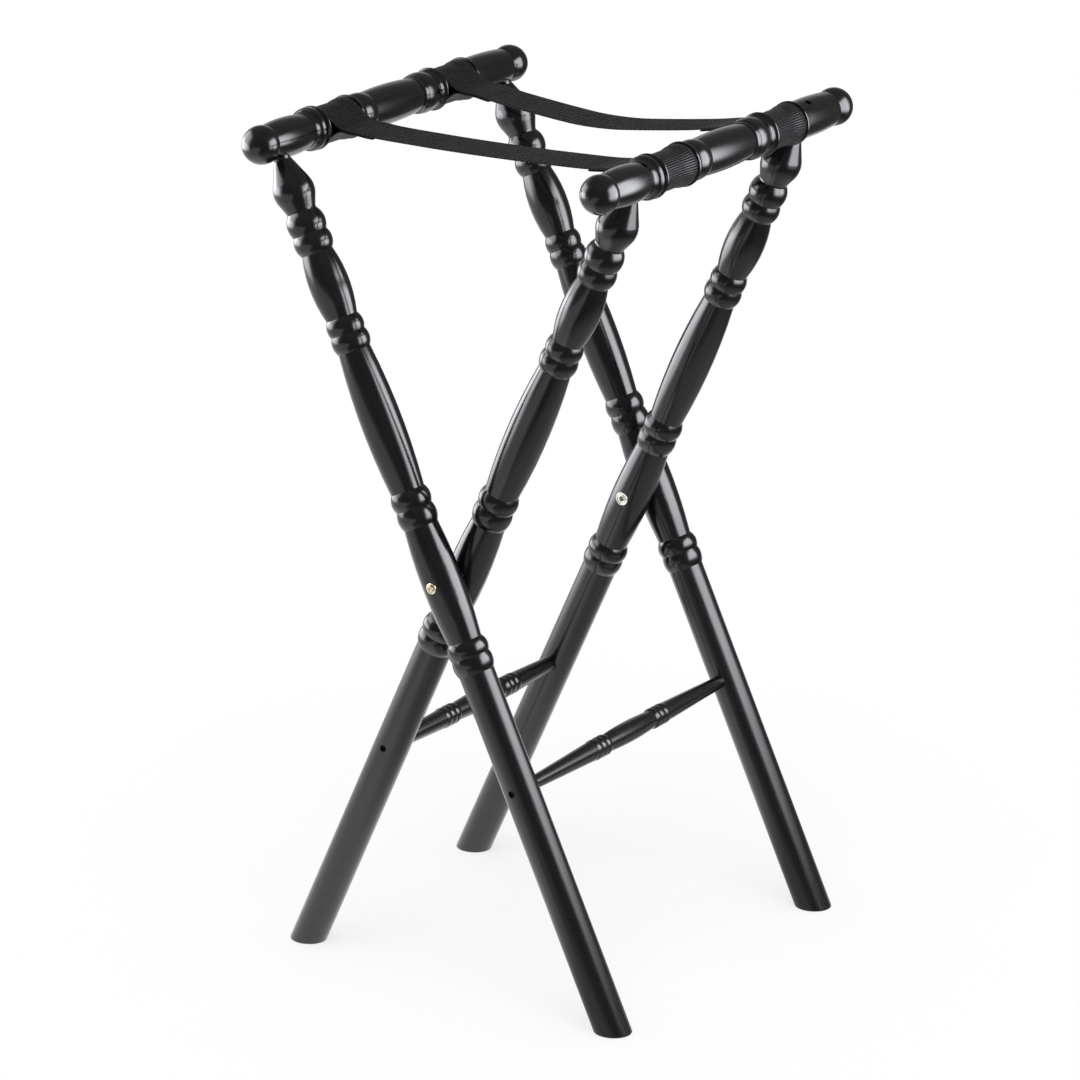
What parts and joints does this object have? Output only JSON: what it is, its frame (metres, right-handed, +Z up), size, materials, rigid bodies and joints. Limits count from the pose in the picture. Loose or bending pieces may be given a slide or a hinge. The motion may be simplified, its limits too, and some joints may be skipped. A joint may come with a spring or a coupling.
{
  "type": "tray stand",
  "caption": "Folding tray stand of turned black wood: scissor frames on rivet pivots, turned rails and rungs, tied by black webbing straps that stop the opening.",
  "frame": {"origin": "on the floor, in the middle of the open stand", "axes": "+Z up, +Y along the rails from the front legs to the back legs, +X from the outer frame's rail to the inner frame's rail"},
  "size_m": [0.3926, 0.4392, 0.7897],
  "materials": {
    "lacquered_wood": "gloss",
    "webbing": "matte",
    "rivet_metal": "satin",
    "brass": "satin",
    "zinc_steel": "satin"
  },
  "bodies": {
    "outer_frame": {"outer_rail": "lacquered_wood", "outer_leg_front": "lacquered_wood", "outer_leg_back": "lacquered_wood", "outer_rung": "lacquered_wood", "outer_rail_screws": "zinc_steel", "outer_rung_screws": "zinc_steel", "pivot_rivet_front": "rivet_metal", "pivot_washer_front": "brass", "pivot_spacer_front": "zinc_steel", "pivot_rivet_back": "rivet_metal", "pivot_washer_back": "brass", "pivot_spacer_back": "zinc_steel", "front_strap_outer_loop": "webbing", "back_strap_outer_loop": "webbing"},
    "inner_frame": {"inner_rail": "lacquered_wood", "inner_leg_front": "lacquered_wood", "inner_leg_back": "lacquered_wood", "inner_rung": "lacquered_wood", "inner_rail_screws": "zinc_steel", "inner_rung_screws": "zinc_steel", "front_strap_inner_loop": "webbing", "back_strap_inner_loop": "webbing"},
    "front_strap_outer_span": {"front_strap_outer_span": "webbing"},
    "front_strap_inner_span": {"front_strap_inner_span": "webbing"},
    "back_strap_outer_span": {"back_strap_outer_span": "webbing"},
    "back_strap_inner_span": {"back_strap_inner_span": "webbing"}
  },
  "joints": [
    {"name": "fold", "type": "hinge", "parent": "outer_frame", "child": "inner_frame", "pos_m": [0, 0, 0.3893], "axis": [0, -1, 0], "range_deg": [0, 42], "deforming": ["front_strap_outer_span", "front_strap_inner_span", "back_strap_outer_span", "back_strap_inner_span"]},
    {"name": "front_strap_outer_swing", "type": "hinge", "parent": "outer_frame", "child": "front_strap_outer_span", "pos_m": [-0.14838, -0.096, 0.77101], "axis": [0, 1, 0], "range_deg": [0, 66.74]},
    {"name": "front_strap_inner_swing", "type": "hinge", "parent": "inner_frame", "child": "front_strap_inner_span", "pos_m": [0.14838, -0.096, 0.77101], "axis": [0, -1, 0], "range_deg": [0, 66.74]},
    {"name": "back_strap_outer_swing", "type": "hinge", "parent": "outer_frame", "child": "back_strap_outer_span", "pos_m": [-0.14838, 0.094, 0.77101], "axis": [0, 1, 0], "range_deg": [0, 62.32]},
    {"name": "back_strap_inner_swing", "type": "hinge", "parent": "inner_frame", "child": "back_strap_inner_span", "pos_m": [0.14838, 0.094, 0.77101], "axis": [0, -1, 0], "range_deg": [0, 62.32]}
  ],
  "couplings": [
    {"joint": "front_strap_outer_swing", "follows": "fold", "ratio": 1.589},
    {"joint": "front_strap_inner_swing", "follows": "fold", "ratio": 1.589},
    {"joint": "back_strap_outer_swing", "follows": "fold", "ratio": 1.4838},
    {"joint": "back_strap_inner_swing", "follows": "fold", "ratio": 1.4838}
  ]
}
